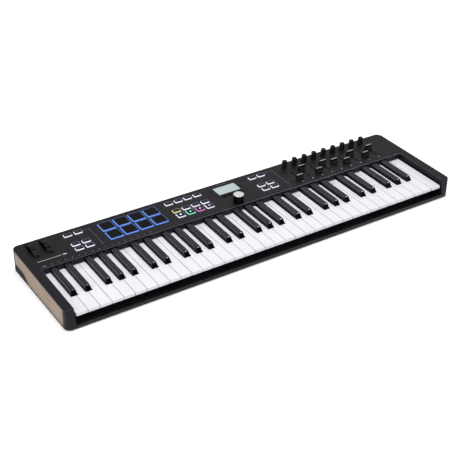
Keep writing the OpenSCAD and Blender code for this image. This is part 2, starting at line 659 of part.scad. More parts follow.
module ribbon_cables() {
  color("#b8bcc4") place() {
    // main board to control board
    box(-250, -226, 199.6, 200, main_z, board_z - 1.6);
    // key contact board to main board
    box(-216, -204, 104, 200.4, plate_z + 1.6, plate_z + 2);
    box(-216, -204, 200, 200.4, main_z, plate_z + 1.8);
  }
}

top_case();
bottom_case();
left_wood_panel();
right_wood_panel();
key_frame();
key_pivot_rod();
key_springs();
key_contact_strips();
key_contact_board();
key_felts();
control_board();
main_board();
panel_control_bodies();
display_module();
display_window();
wheel_cradle();
rear_sockets();
rubber_feet();
screws();
ribbon_cables();
c_keys();
c_sharp_keys();
d_keys();
d_sharp_keys();
e_keys();
f_keys();
f_sharp_keys();
g_keys();
g_sharp_keys();
a_keys();
a_sharp_keys();
b_keys();
pitch_wheel();
mod_wheel();
main_encoder_spindle();
main_encoder_knob();
main_encoder_cap();
fader_1();
fader_2();
fader_3();
fader_4();
fader_5();
fader_6();
fader_7();
fader_8();
fader_9();
knob_1();
knob_2();
knob_3();
knob_4();
knob_5();
knob_6();
knob_7();
knob_8();
knob_9();
drum_pads();
left_buttons();
transport_buttons();
right_buttons();
display_buttons();
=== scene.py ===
import math

import bmesh
import bpy
from mathutils import Matrix, Vector


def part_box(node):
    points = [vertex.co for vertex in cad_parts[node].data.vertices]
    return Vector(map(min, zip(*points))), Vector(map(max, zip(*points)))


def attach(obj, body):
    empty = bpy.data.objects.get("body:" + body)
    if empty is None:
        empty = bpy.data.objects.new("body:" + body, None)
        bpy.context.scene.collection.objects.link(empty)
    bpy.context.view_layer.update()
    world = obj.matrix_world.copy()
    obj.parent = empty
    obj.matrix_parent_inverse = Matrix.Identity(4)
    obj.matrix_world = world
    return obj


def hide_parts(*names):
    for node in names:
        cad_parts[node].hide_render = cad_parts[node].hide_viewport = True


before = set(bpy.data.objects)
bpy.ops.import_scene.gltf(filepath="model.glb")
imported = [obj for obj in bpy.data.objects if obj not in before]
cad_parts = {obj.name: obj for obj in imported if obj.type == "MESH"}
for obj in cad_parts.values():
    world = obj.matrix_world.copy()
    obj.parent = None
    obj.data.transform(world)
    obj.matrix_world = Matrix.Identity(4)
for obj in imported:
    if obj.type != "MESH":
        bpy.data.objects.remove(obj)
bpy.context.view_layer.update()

# ---------------------------------------------------------------- the panel frame
# The panel's own frame, in millimetres: X right, Y to the rear from the front edge of the
# white keys, Z up from the panel's top. The CAD tips it by TILT and lifts it by OFF.
TILT = math.radians(1.3)
OFF = Vector((0, -114.43067514309269, 42.918867739866414)) * 0.001
P2W = Matrix.Translation(OFF) @ Matrix.Rotation(TILT, 4, "X") @ Matrix.Scale(0.001, 4)
W2P = P2W.inverted()
ROT = Matrix.Rotation(TILT, 3, "X")


def islands(node):
    """Each separate solid of a CAD node as (lowest, highest corner) of its part above z, in the panel frame."""
    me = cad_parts[node].data
    bm = bmesh.new()
    bm.from_mesh(me)
    bmesh.ops.remove_doubles(bm, verts=bm.verts, dist=1e-6)
    seen, out = set(), []
    for v in bm.verts:
        if v in seen:
            continue
        stack, group = [v], []
        seen.add(v)
        while stack:
            a = stack.pop()
            group.append(W2P @ a.co)
            for e in a.link_edges:
                b = e.other_vert(a)
                if b not in seen:
                    seen.add(b)
                    stack.append(b)
        top = max(p.z for p in group)
        near = [p for p in group if p.z > top - 0.4]
        out.append((Vector((min(p.x for p in near), min(p.y for p in near), min(p.z for p in group))),
                    Vector((max(p.x for p in near), max(p.y for p in near), top))))
    bm.free()
    return out


# ---------------------------------------------------------------- camera
CAM = Vector((-986.96, -1335.35, 1092.73))
cam_data = bpy.data.cameras.new("camera")
cam = bpy.data.objects.new("camera", cam_data)
bpy.context.scene.collection.objects.link(cam)
right = ROT @ Vector((0.84063, -0.54135, 0.01677))
up = ROT @ Vector((0.28315, 0.46566, 0.83845))
back = -(ROT @ Vector((0.46170, 0.70008, -0.54473)))
m = Matrix((right, up, back)).transposed().to_4x4()
m.translation = P2W @ CAM
cam.matrix_world = m
cam_data.sensor_width = 36
cam_data.lens = 81.05
cam_data.clip_start = 0.05
cam_data.clip_end = 60
bpy.context.scene.camera = cam


# ---------------------------------------------------------------- materials
def lin(h):
    h = h.lstrip("#")
    c = [int(h[i:i + 2], 16) / 255 for i in (0, 2, 4)]
    return tuple(x / 12.92 if x <= 0.04045 else ((x + 0.055) / 1.055) ** 2.4 for x in c) + (1,)


class Mat:
    """A Principled material with a few node helpers. v is the place on the surface in the panel frame, in mm."""

    def __init__(s, name, rough=0.5, metal=0.0, **sockets):
        s.m = bpy.data.materials.new(name)
        s.m.use_nodes = True
        s.t = s.m.node_tree
        s.p = s.t.nodes["Principled BSDF"]
        s.p.inputs["Roughness"].default_value = rough
        s.p.inputs["Metallic"].default_value = metal
        for k, val in sockets.items():
            s.p.inputs[k.replace("_", " ")].default_value = val
        tc = s.t.nodes.new("ShaderNodeTexCoord")
        mp = s.t.nodes.new("ShaderNodeMapping")
        mp.vector_type = "TEXTURE"
        mp.inputs["Location"].default_value = OFF
        mp.inputs["Rotation"].default_value = (TILT, 0, 0)
        mp.inputs["Scale"].default_value = (0.001, 0.001, 0.001)
        s.t.links.new(tc.outputs["Object"], mp.inputs["Vector"])
        s.v = mp.outputs["Vector"]

    def link(s, a, b):
        s.t.links.new(a, b)

    def put(s, sock, x):
        if isinstance(x, bpy.types.NodeSocket):
            s.t.links.new(x, sock)
        elif x is not None:
            sock.default_value = x

    def scaled(s, k, vec=None):
        n = s.t.nodes.new("ShaderNodeVectorMath")
        n.operation = "MULTIPLY"
        s.put(n.inputs[0], vec or s.v)
        n.inputs[1].default_value = k if isinstance(k, (tuple, list)) else (k, k, k)
        return n.outputs[0]

    def noise(s, scale, detail=3, rough=0.55, vec=None, dist=0.0):
        n = s.t.nodes.new("ShaderNodeTexNoise")
        s.put(n.inputs["Vector"], vec or s.v)
        n.inputs["Scale"].default_value = scale
        n.inputs["Detail"].default_value = detail
        n.inputs["Roughness"].default_value = rough
        n.inputs["Distortion"].default_value = dist
        return n.outputs["Fac"]

    def voronoi(s, scale, vec=None, feature="F1"):
        n = s.t.nodes.new("ShaderNodeTexVoronoi")
        n.feature = feature
        s.put(n.inputs["Vector"], vec or s.v)
        n.inputs["Scale"].default_value = scale
        return n.outputs["Distance"]

    def wave(s, scale, axis="X", vec=None, dist=0.0, detail=0.0, dscale=1.0):
        n = s.t.nodes.new("ShaderNodeTexWave")
        n.bands_direction = axis
        s.put(n.inputs["Vector"], vec or s.v)
        n.inputs["Scale"].default_value = scale
        n.inputs["Distortion"].default_value = dist
        n.inputs["Detail"].default_value = detail
        n.inputs["Detail Scale"].default_value = dscale
        return n.outputs["Fac"]

    def ramp(s, fac, *stops):
        n = s.t.nodes.new("ShaderNodeValToRGB")
        s.put(n.inputs[0], fac)
        e = n.color_ramp.elements
        while len(e) < len(stops):
            e.new(0.5)
        for i, (pos, col) in enumerate(stops):
            e[i].position = pos
            e[i].color = col if isinstance(col, tuple) else (col, col, col, 1)
        return n.outputs["Color"]

    def span(s, fac, a, b, lo=0.0, hi=1.0):
        n = s.t.nodes.new("ShaderNodeMapRange")
        s.put(n.inputs["Value"], fac)
        for k, val in zip(("From Min", "From Max", "To Min", "To Max"), (a, b, lo, hi)):
            n.inputs[k].default_value = val
        return n.outputs["Result"]

    def calc(s, op, a, b=None, c=None):
        n = s.t.nodes.new("ShaderNodeMath")
        n.operation = op
        for i, x in enumerate((a, b, c)):
            if x is not None:
                s.put(n.inputs[i], x)
        return n.outputs[0]

    def mix(s, fac, a, b, mode="MIX"):
        n = s.t.nodes.new("ShaderNodeMix")
        n.data_type = "RGBA"
        n.blend_type = mode
        s.put(n.inputs["Factor"], fac)
        s.put(n.inputs["A"] if False else n.inputs[6], a)
        s.put(n.inputs[7], b)
        return n.outputs[2]

    def xyz(s, vec=None):
        n = s.t.nodes.new("ShaderNodeSeparateXYZ")
        s.put(n.inputs[0], vec or s.v)
        return n.outputs

    def colour(s, x):
        s.put(s.p.inputs["Base Color"], x)
        return s

    def rough(s, x):
        s.put(s.p.inputs["Roughness"], x)
        return s

    def bump(s, height, dist, strength=1.0, on=None):
        """dist is the height of the bumps in mm."""
        n = s.t.nodes.new("ShaderNodeBump")
        n.inputs["Strength"].default_value = strength
        n.inputs["Distance"].default_value = dist * 0.001
        s.put(n.inputs["Height"], height)
        if on is not None:
            s.put(n.inputs["Normal"], on)
        s.put(s.p.inputs["Normal"], n.outputs["Normal"])
        return n.outputs["Normal"]


def moulded(name, col, light, rough=0.5, grain=2.2, depth=0.02, vary=0.08, **sockets):
    """Moulded plastic: spark-eroded grain, slow colour and gloss changes, faint rubbed patches."""
    a = Mat(name, **sockets)
    slow = a.noise(0.012, 4, 0.6)
    fine = a.noise(grain, 4, 0.65)
    cell = a.voronoi(grain * 0.9)
    c = a.mix(a.span(slow, 0.3, 0.7, 0.0, 0.55), lin(col), lin(light))
    c = a.mix(a.span(fine, 0.35, 0.75, 0.0, 0.35), c, lin(light))
    a.colour(c)
    rub = a.noise(0.05, 5, 0.7, dist=0.4)
    a.rough(a.calc("ADD", a.span(rub, 0.3, 0.7, rough - vary, rough + vary), a.span(fine, 0.3, 0.7, -0.03, 0.03)))
    a.bump(a.calc("ADD", fine, a.calc("MULTIPLY", cell, 0.6)), depth)
    return a.m


def case_plastic():
    """The case's moulded plastic. Its outer edges and the panel's front edge are rubbed smoother and painted lighter as
    a highlight; the insides of the openings and fader slots get painted shade, and the apron face a painted lighter
    tint.
    """
    a = Mat("case_look", Specular_IOR_Level=0.2, Specular_Tint=(1.0, 0.94, 1.0, 1.0))
    x, y, z = a.xyz()
    slow, fine, cell = a.noise(0.012, 4, 0.6), a.noise(2.0, 4, 0.65), a.voronoi(1.8)
    c = a.mix(a.span(slow, 0.3, 0.7, 0.0, 0.55), lin("#141317"), lin("#1C1B1F"))
    c = a.mix(a.span(fine, 0.35, 0.75, 0.0, 0.35), c, lin("#1C1B1F"))
    wear_and_glint_noise = a.noise(0.08, 5, 0.7, dist=0.5)
    ax = a.calc("ABSOLUTE", x)
    high = a.span(z, -0.6, -0.4)
    times = lambda *q: q[0] if len(q) == 1 else a.calc("MULTIPLY", q[0], times(*q[1:]))
    band = lambda v, lo, hi: times(a.span(v, lo - 0.06, lo + 0.06), a.span(v, hi + 0.06, hi - 0.06))
    wide = a.span(wear_and_glint_noise, 0.3, 0.7, -0.2, 0.15)
    # painted highlight: a light line along the panel's front edge
    panel = times(band(a.calc("SUBTRACT", y, wide), 134.2, 135.55), a.span(ax, 426.4, 426.1), high)
    # painted highlight: light lines along the cheeks' inner top edges, the panel's outer side and rear edges, and the
    # cheeks' front ends
    well_highlight = times(band(a.calc("SUBTRACT", ax, wide), 425.5, 426.5), a.span(y, 135.0, 134.8), high)
    qx = a.calc("MAXIMUM", a.calc("SUBTRACT", ax, 431.0), 0.0)
    qy = a.calc("MAXIMUM", a.calc("SUBTRACT", y, 218.6), 0.0)
    rim = a.calc("SQRT", a.calc("ADD", a.calc("MULTIPLY", qx, qx), a.calc("MULTIPLY", qy, qy)))
    outer = times(a.span(a.calc("ADD", rim, wide), 13.3, 13.6), a.span(z, -1.3, -0.9))
    nose = times(a.span(y, 2.0, 1.6), a.span(z, -1.7, -1.3))
    # painted highlight along the top edge of the front lip
    lip_highlight = times(band(z, -35.4, -33.6), a.span(y, -4.6, -4.9), a.span(ax, 426.4, 426.1))
    soft = a.calc("MAXIMUM", a.calc("MAXIMUM", well_highlight, outer), a.calc("MULTIPLY", nose, 0.2))
    # mix in the painted edge highlights, broken up by noise; the same edges are also rubbed smoother in the roughness
    # below
    c = a.mix(a.calc("MULTIPLY", soft, a.span(wear_and_glint_noise, 0.3, 0.7, 0.5, 1.0)), c, lin("#57565C"))
    # painted light: the apron face under the panel's front edge tinted a lighter blue-grey than the case plastic
    apron_light = times(a.span(a.calc("ABSOLUTE", a.calc("SUBTRACT", y, 134.9)), 0.6, 0.3), a.span(z, -1.0, -1.5))
    front = a.span(y, -5.2, -5.5)
    c = a.mix(a.calc("MULTIPLY", apron_light, 0.6), c, lin("#2A2833"))
    # painted shade: the walls inside the panel's openings, below its top, near black
    opening_shade = times(a.span(z, -0.12, -0.3), a.span(y, 137.0, 138.0), a.span(y, 231.0, 230.0), a.span(ax, 432.0, 431.0))
    c = a.mix(opening_shade, c, lin("#020202"))
    # painted shade: the walls inside the fader slots, below 0.9 mm, near black
    near = a.calc("ABSOLUTE", a.calc("SUBTRACT", a.calc("FRACT", a.calc("DIVIDE", a.calc("SUBTRACT", x, 171.2 - 12.925), 25.85)), 0.5))
    slot_shade = times(a.span(near, 0.062, 0.056), a.span(x, 169.0, 169.6), a.span(x, 379.6, 379.0), a.span(y, 154.5, 154.9), a.span(y, 192.9, 192.5), a.span(z, -1.0, -0.9))
    c = a.mix(slot_shade, c, lin("#030303"))
    # the lip's painted highlight, lighter towards the right end
    c = a.mix(times(lip_highlight, a.span(x, -420.0, 400.0, 0.3, 1.0)), c, lin("#3E3D43"))
    # the panel's front-edge painted highlight, stronger towards the right end
    c = a.mix(times(panel, a.span(x, -420.0, 200.0, 0.45, 1.0)), c, lin("#85848C"))
    a.colour(c)
    worn = a.calc("MAXIMUM", a.calc("MAXIMUM", soft, panel), lip_highlight)
    rub = a.noise(0.05, 5, 0.7, dist=0.4)
    base = a.calc("ADD", a.span(rub, 0.3, 0.7, 0.38, 0.54), a.span(fine, 0.3, 0.7, -0.03, 0.03))
    a.rough(a.calc("SUBTRACT", base, a.calc("MULTIPLY", a.calc("MAXIMUM", worn, front), 0.14)))
    a.bump(a.calc("ADD", fine, a.calc("MULTIPLY", cell, 0.6)), 0.02)
    return a.m


def case_edges():
    """The case's rounded outer edges: a little smoother, with rubbed wear and a lighter painted highlight; the bevels
    around the small openings get near-black painted shade.
    """
    a = Mat("case_edge_look", Specular_IOR_Level=0.45)
    x, y, z = a.xyz()
    wear_and_glint_noise = a.noise(0.06, 5, 0.7, dist=0.5)
    fine = a.noise(2.0, 4, 0.65)
    # painted shade: the bevels around the panel's openings
    inside = a.calc("MULTIPLY", a.calc("MULTIPLY", a.span(y, 135.8, 136.2), a.span(y, 232.5, 231.5)),
                    a.calc("MULTIPLY", a.span(x, -433.0, -432.0), a.span(x, 433.0, 432.0)))
    # painted highlight with rubbed wear: the bevels lighter than the case plastic
    c = a.mix(a.span(wear_and_glint_noise, 0.35, 0.65), lin("#3B3A3F"), lin("#504F55"))
    c = a.mix(inside, c, lin("#0A0A0B"))
    a.colour(c)
    a.rough(a.calc("ADD", a.span(wear_and_glint_noise, 0.3, 0.7, 0.38, 0.28), a.span(fine, 0.3, 0.7, -0.03, 0.03)))
    a.bump(fine, 0.008)
    return a.m


def key_white():
    a = Mat("white_key_look", Coat_Weight=0.35, Coat_Roughness=0.12, IOR=1.5)
    slow = a.noise(0.02, 3, 0.5)
    x, _, z = a.xyz()
    c = a.mix(a.span(slow, 0.3, 0.7), lin("#F0EFF4"), lin("#EBEAF1"))
    edge = a.calc("ABSOLUTE", a.calc("SUBTRACT", a.calc("FRACT", a.calc("DIVIDE", a.calc("ADD", x, 423 - 23.5 / 2), 23.5)), 0.5))
    # painted shade: a lilac-grey line on the bevels along the gaps between the white keys
    gap_shade = a.calc("MULTIPLY", a.span(edge, 0.036, 0.026), a.span(z, -12.87, -12.97))
    a.colour(a.mix(a.calc("MULTIPLY", gap_shade, 0.8), c, lin("#CBC7DE")))
    smear = a.noise(0.09, 4, 0.6, vec=a.scaled((1, 0.35, 1)), dist=0.5)
    a.rough(a.span(smear, 0.3, 0.7, 0.22, 0.27))
    a.bump(a.noise(1.2, 2, 0.5), 0.0015)
    return a.m


def from_key_middle(a, x):
    """Distance across from the middle of the nearest black key, in mm."""
    local = a.calc("MULTIPLY", a.calc("FRACT", a.calc("DIVIDE", a.calc("ADD", x, 423.0), 164.5)), 164.5)
    off = None
    for mid in (21.15, 49.35, 90.64, 117.5, 144.36):
        d = a.calc("ABSOLUTE", a.calc("SUBTRACT", local, mid))
        off = d if off is None else a.calc("MINIMUM", off, d)
    return off


def key_black():
    a = Mat("black_key_look", Specular_IOR_Level=0.11)
    slow = a.noise(0.03, 4, 0.6)
    x, y, z = a.xyz()
    # painted light on the top face: lighter down the middle as a painted reflection, near black at the side margins as
    # painted shade
    c = a.mix(a.span(slow, 0.3, 0.7), lin("#2B2A2F"), lin("#33323A"))
    c = a.mix(a.span(from_key_middle(a, x), 1.2, 3.3), c, lin("#080809"))
    # painted light on the sides: near black at the bottom as painted shade, rising to a lighter purple-grey at the top
    # as a painted reflection
    side_light_ramp = a.ramp(a.span(z, -12.9, -4.0), (0.0, lin("#010101")), (0.38, lin("#060608")), (0.6, lin("#2E2A3F")), (1.0, lin("#6C677B")))
    c = a.mix(a.span(z, -3.5, -4.0), c, side_light_ramp)
    # painted shade: the front face and the front end of the top near black
    a.colour(a.mix(a.span(y, 57.0, 53.5), c, lin("#050506")))
    fine = a.noise(3.0, 3, 0.6)
    smear = a.noise(0.12, 5, 0.7, vec=a.scaled((1, 0.3, 1)), dist=0.6)
    a.rough(a.calc("ADD", a.span(smear, 0.3, 0.7, 0.2, 0.27), a.span(fine, 0.3, 0.7, -0.02, 0.02)))
    a.bump(fine, 0.002)
    return a.m


def key_black_edge():
    """The rounded edges of the black keys: near black with rubbed wear, and a painted highlight on the front top edge,
    strongest in the middle of each key and towards the right end.
    """
    a = Mat("black_key_edge_look", Specular_IOR_Level=0.3)
    x, y, z = a.xyz()
    # painted highlight: a pale glint on the front top edge of each black key
    tip_glint = a.calc("MULTIPLY", a.span(y, 56.4, 55.9), a.span(z, -5.0, -4.4))
    off = from_key_middle(a, x)
    tip_glint = a.calc("MULTIPLY", a.calc("MULTIPLY", tip_glint, a.span(off, 3.2, 1.4)), a.span(x, -420.0, 120.0, 0.12, 1.0))
    wear_and_glint_noise = a.noise(0.25, 4, 0.7)
    c = a.mix(a.span(wear_and_glint_noise, 0.35, 0.65), lin("#101013"), lin("#1A191E"))
    a.colour(a.mix(a.calc("MULTIPLY", tip_glint, a.span(wear_and_glint_noise, 0.25, 0.6, 0.7, 1.0)), c, lin("#DEDDE4")))
    a.rough(a.span(wear_and_glint_noise, 0.3, 0.7, 0.18, 0.27))
    a.bump(a.noise(3.0, 3, 0.6), 0.002)
    return a.m


def wood():
    a = Mat("wood_look", Coat_Weight=0.08, Coat_Roughness=0.4)
    along = a.scaled((1.0, 0.045, 1.0))
    rings = a.noise(0.16, 4, 0.6, vec=along, dist=1.2)
    fibre = a.noise(1.6, 5, 0.7, vec=a.scaled((1.0, 0.03, 1.0)))
    pores = a.voronoi(1.1, vec=a.scaled((1.0, 0.06, 1.0)))
    c = a.ramp(rings, (0.25, lin("#8C7660")), (0.45, lin("#9B8670")), (0.6, lin("#A8927C")), (0.8, lin("#96806A")))
    c = a.mix(a.span(fibre, 0.35, 0.7, 0.0, 0.65), c, lin("#75604B"))
    c = a.mix(a.span(pores, 0.0, 0.26, 0.8, 0.0), c, lin("#5C4938"))
    c = a.mix(a.span(a.noise(0.02, 2), 0.35, 0.65, 0.0, 0.3), c, lin("#B39D87"))
    # darker towards the rear
    c = a.mix(a.span(a.xyz()[1], 90.0, 190.0, 0.0, 0.35), c, lin("#7D6A56"))
    a.colour(c)
    a.rough(a.span(fibre, 0.3, 0.7, 0.48, 0.62))
    h = a.calc("SUBTRACT", a.calc("MULTIPLY", fibre, 0.6), a.span(pores, 0.0, 0.2, 1.0, 0.0))
    a.bump(h, 0.06)
    return a.m


def rubber(name, col, light, rough=0.75, grain=1.4, depth=0.03, spec=0.3, sheen=0.04):
    a = Mat(name, Sheen_Weight=sheen, Sheen_Roughness=0.5, Specular_IOR_Level=spec)
    fine = a.noise(grain, 4, 0.7)
    dust = a.noise(0.08, 5, 0.75, dist=0.5)
    c = a.mix(a.span(dust, 0.4, 0.75, 0.0, 0.7), lin(col), lin(light))
    a.colour(c)
    a.rough(a.calc("ADD", a.span(dust, 0.3, 0.7, rough - 0.07, rough + 0.05), a.span(fine, 0.3, 0.7, -0.03, 0.03)))
    a.bump(fine, depth)
    return a.m


def metal(name, col, dark, rough=0.3, brush=(1, 1, 1), scale=1.0, depth=0.004):
    a = Mat(name, metal=1.0)
    streak = a.noise(scale, 4, 0.65, vec=a.scaled(brush))
    spots = a.noise(0.15, 4, 0.7)
    a.colour(a.mix(a.span(streak, 0.3, 0.7), lin(dark), lin(col)))
    a.rough(a.calc("ADD", a.span(spots, 0.3, 0.7, rough - 0.06, rough + 0.1), a.span(streak, 0.3, 0.7, -0.05, 0.05)))
    a.bump(streak, depth)
    return a.m


def board_green():
    a = Mat("board_look", Coat_Weight=0.4, Coat_Roughness=0.2)
    g = a.t.nodes.new("ShaderNodeTexBrick")
    g.inputs["Scale"].default_value = 0.16
    g.inputs["Mortar Size"].default_value = 0.035
    g.offset = 0.37
    g.squash = 0.7
    g.squash_frequency = 3
    a.link(a.v, g.inputs["Vector"])
    lines = g.outputs["Fac"]
    blotch = a.noise(0.1, 3)
    c = a.mix(a.span(blotch, 0.3, 0.7), lin("#123F28"), lin("#184E33"))
    a.colour(a.mix(a.calc("MULTIPLY", lines, 0.7), c, lin("#2F7A52")))
    a.rough(a.span(blotch, 0.3, 0.7, 0.32, 0.45))
    a.bump(a.calc("ADD", lines, a.calc("MULTIPLY", a.noise(1.5, 2), 0.3)), 0.035)
    return a.m


def felt():
    a = Mat("felt_look", Sheen_Weight=0.5, Sheen_Roughness=0.5)
    f = a.noise(1.2, 6, 0.8)
    k = a.noise(0.1, 3)
    a.colour(a.mix(a.span(f, 0.3, 0.7), lin("#4E1720"), a.mix(k, lin("#8A2D3A"), lin("#732532"))))
    a.rough(a.span(f, 0.3, 0.7, 0.85, 0.98))
    a.bump(f, 0.25)
    return a.m


def cable():
    a = Mat("cable_look")
    w = a.wave(0.39, "X", dist=0.0)
    c = a.mix(a.span(w, 0.0, 0.25), lin("#7E8084"), lin("#C9CBCE"))
    a.colour(a.mix(a.span(a.noise(0.2, 3), 0.4, 0.8, 0, 0.3), c, lin("#A5A6A9")))
    a.rough(a.span(a.noise(0.5, 3), 0.3, 0.7, 0.45, 0.6))
    a.bump(w, 0.2)
    return a.m


def glowing(name, col, deep, strength, rim=0.3, rough=0.35):
    """Milky plastic lit from inside, a little unevenly."""
    a = Mat(name, Coat_Weight=0.3, Coat_Roughness=0.2)
    cloud = a.noise(0.22, 3, 0.6)
    fine = a.noise(2.0, 3, 0.6)
    z = a.xyz()[2]
    c = a.mix(a.span(cloud, 0.3, 0.7, 0.0, 0.5), lin(col), lin(deep))
    dull = a.mix(1 - rim, c, lin("#121318"))
    shield = a.span(z, -2.2, -2.5)  # the part below the panel is painted black, so that no light leaks
    a.colour(a.mix(shield, a.mix(a.span(z, 1.6, 2.0), a.mix(0.5, c, lin("#1B1C22")), dull), lin("#0A0A0C")))
    a.put(a.p.inputs["Emission Color"], a.mix(shield, a.mix(a.span(z, 1.6, 2.0), c, dull), lin("#000000")))
    a.p.inputs["Emission Strength"].default_value = strength
    a.rough(a.span(fine, 0.3, 0.7, rough - 0.06, rough + 0.06))
    a.bump(fine, 0.01)
    return a.m


def pad_top():
    a = Mat("pad_top_look", Specular_IOR_Level=0.15)
    fine = a.noise(1.8, 4, 0.7)
    dust = a.noise(0.05, 5, 0.7, dist=0.4)
    c = a.mix(a.span(dust, 0.35, 0.75), lin("#060607"), lin("#0A0A0B"))
    a.colour(a.mix(a.span(fine, 0.45, 0.8, 0.0, 0.4), c, lin("#0E0E10")))
    a.rough(a.calc("ADD", a.span(dust, 0.3, 0.7, 0.6, 0.72), a.span(fine, 0.3, 0.7, -0.04, 0.04)))
    a.bump(fine, 0.05)
    return a.m


def silver_cap():
    """Turned and brushed in rings about the encoder's axis, with a painted highlight in bright sectors fanning round
    it.
    """
    a = Mat("encoder_cap_look", metal=0.7)
    x, y, _ = a.xyz()
    lo, hi = (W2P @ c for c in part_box("main_encoder_cap"))
    cx, cy = (lo.x + hi.x) / 2, (lo.y + hi.y) / 2
    dx, dy = a.calc("SUBTRACT", x, cx), a.calc("SUBTRACT", y, cy)
    r = a.calc("SQRT", a.calc("ADD", a.calc("MULTIPLY", dx, dx), a.calc("MULTIPLY", dy, dy)))
    ang = a.calc("ARCTAN2", dy, dx)
    comb = a.t.nodes.new("ShaderNodeCombineXYZ")
    a.put(comb.inputs[0], r)
    a.put(comb.inputs[1], a.calc("MULTIPLY", ang, 0.6))
    rings = a.noise(3.2, 3, 0.7, vec=comb.outputs[0])
    # painted highlight: bright sectors round the axis, as brushed metal shows them in light
    fan_highlight = a.noise(1.3, 2, 0.5, vec=a.scaled((0.0, 1.6, 0.0), comb.outputs[0]))
    a.colour(a.mix(a.span(rings, 0.3, 0.7), lin("#C9CACC"), a.mix(a.span(fan_highlight, 0.42, 0.58), lin("#DCDDDF"), lin("#FFFFFF"))))
    a.rough(a.calc("ADD", a.span(rings, 0.3, 0.7, 0.24, 0.36), a.span(fan_highlight, 0.3, 0.7, -0.06, 0.06)))
    a.bump(rings, 0.006)
    return a.m


LOOK = {
    "case_plastic": case_plastic(),
    "case_edge": case_edges(),
    "base_plastic": moulded("base_look", "#121114", "#1E1D20", rough=0.55, grain=1.4, depth=0.04, Specular_IOR_Level=0.25),
    "wood": wood(),
    "steel_sheet": metal("sheet_look", "#B4B6B9", "#8F9194", 0.38, (1, 0.15, 1), 0.5, 0.01),
    "steel_rod": metal("rod_look", "#D2D3D6", "#AFB1B5", 0.22, (0.1, 1, 1), 1.2, 0.004),
    "spring_brass": metal("spring_look", "#8A8578", "#5F5B52", 0.3, (1, 0.2, 1), 0.8, 0.004),
    "contact_rubber": rubber("contact_look", "#4A4C50", "#62656A", 0.7),
    "board": board_green(),
    "felt": felt(),
    "plated_metal": metal("plated_look", "#B9BBBE", "#8C8E92", 0.3, (1, 1, 1), 0.7, 0.006),
    "inner_plastic": moulded("inner_look", "#303135", "#3F4045", rough=0.55, grain=1.2, depth=0.04),
    "socket_plastic": moulded("socket_look", "#17171A", "#222226", rough=0.45, grain=1.8, depth=0.02),
    "foot_rubber": rubber("foot_look", "#121213", "#262628", 0.85, 1.1, 0.06),
    "screw_steel": metal("screw_look", "#7C7E82", "#4C4E52", 0.34, (1, 1, 1), 1.4, 0.008),
    "cable": cable(),
    "white_key": key_white(),
    "black_key": key_black(),
    "black_edge": key_black_edge(),
    "wheel_rubber": rubber("wheel_look", "#09080A", "#121114", 0.5, 1.6, 0.02, 0.2, 0.0),
    "fader_plastic": moulded("fader_look", "#0F0E12", "#18171B", Specular_IOR_Level=0.35, rough=0.42, grain=2.4, depth=0.015),
    "knob_rubber": rubber("knob_look", "#18171B", "#232226", 0.48, 2.0, 0.02, 0.3, 0.0),
    "pad_rubber": pad_top(),
    "button_plastic": moulded("button_look", "#0D0F24", "#141630", rough=0.45, grain=2.4, depth=0.008, Specular_IOR_Level=0.16),
    "knob_plastic": moulded("encoder_look", "#040405", "#0A0A0B", rough=0.34, grain=2.4, depth=0.008, Specular_IOR_Level=0.2),
    "display_button": moulded("display_button_look", "#030304", "#070708", rough=0.55, grain=2.4, depth=0.01, Specular_IOR_Level=0.08),
    "knob_cap": silver_cap(),
    "display": moulded("display_back_look", "#9FB0AF", "#B5C4C2", rough=0.5, grain=1.0, depth=0.02),
    "window": moulded("window_look", "#0C0D0E", "#141517", rough=0.12, grain=0.4, depth=0.001, vary=0.03),
    "blue_light": glowing("blue_light_look", "#74A4FF", "#4C82F6", 1.0, 0.28),
    "white_light": glowing("white_light_look", "#F6F8FF", "#D9DEFA", 1.05, 0.14),
    "white_icon": glowing("white_icon_look", "#FFFFFF", "#EDEFFF", 1.0, 1.0),
    "green_icon": glowing("green_icon_look", "#A9FFE2", "#7CF5CB", 1.0, 1.0),
    "pink_icon": glowing("pink_icon_look", "#FFC4EF", "#FFA6E6", 1.0, 1.0),
    "yellow_light": glowing("yellow_light_look", "#F7EBA4", "#E2D48C", 0.85, 0.35),
    "green_light": glowing("green_light_look", "#88E6C9", "#6AD6B4", 0.95, 0.5),
    "pink_light": glowing("pink_light_look", "#DD86CB", "#C871B6", 0.9, 0.5),
}


def screen():
    """Backlit monochrome liquid crystal seen through its window: a fine dot grid over a pale field."""
    a = Mat("screen_look", Coat_Weight=1.0, Coat_Roughness=0.04, rough=0.35)
    x, y, _ = a.xyz()
    gx = a.calc("ABSOLUTE", a.calc("SUBTRACT", a.calc("FRACT", a.calc("DIVIDE", x, 0.4)), 0.5))
    gy = a.calc("ABSOLUTE", a.calc("SUBTRACT", a.calc("FRACT", a.calc("DIVIDE", y, 0.4)), 0.5))
    grid = a.span(a.calc("MAXIMUM", gx, gy), 0.4, 0.5, 0.0, 0.25)
    tone = a.mix(a.span(a.noise(0.05, 3, 0.6), 0.3, 0.7), lin("#A0B1B3"), lin("#A7B8BA"))
    c = a.mix(grid, tone, lin("#7E9092"))
    a.colour(c)
    a.put(a.p.inputs["Emission Color"], c)
    a.p.inputs["Emission Strength"].default_value = 0.15
    a.rough(a.span(a.noise(0.1, 4, 0.7), 0.3, 0.7, 0.3, 0.4))
    a.bump(a.noise(0.3, 2), 0.002)
    return a.m


def printed(name, col, light):
    a = Mat(name)
    f = a.noise(1.6, 4, 0.7)
    a.colour(a.mix(a.span(f, 0.3, 0.7), lin(col), lin(light)))
    a.rough(a.span(f, 0.3, 0.7, 0.5, 0.65))
    a.bump(f, 0.01)
    return a.m


LOOK["screen"] = screen()
LOOK["print_pale"] = printed("print_pale_look", "#D6D6DA", "#ECECEF")
LOOK["print_dim"] = printed("print_dim_look", "#77767C", "#8A898F")
LOOK["print_soft"] = printed("print_soft_look", "#4A4A5E", "#5C5C72")
LOOK["fader_line"] = printed("fader_line_look", "#C4C4C8", "#DDDDE0")

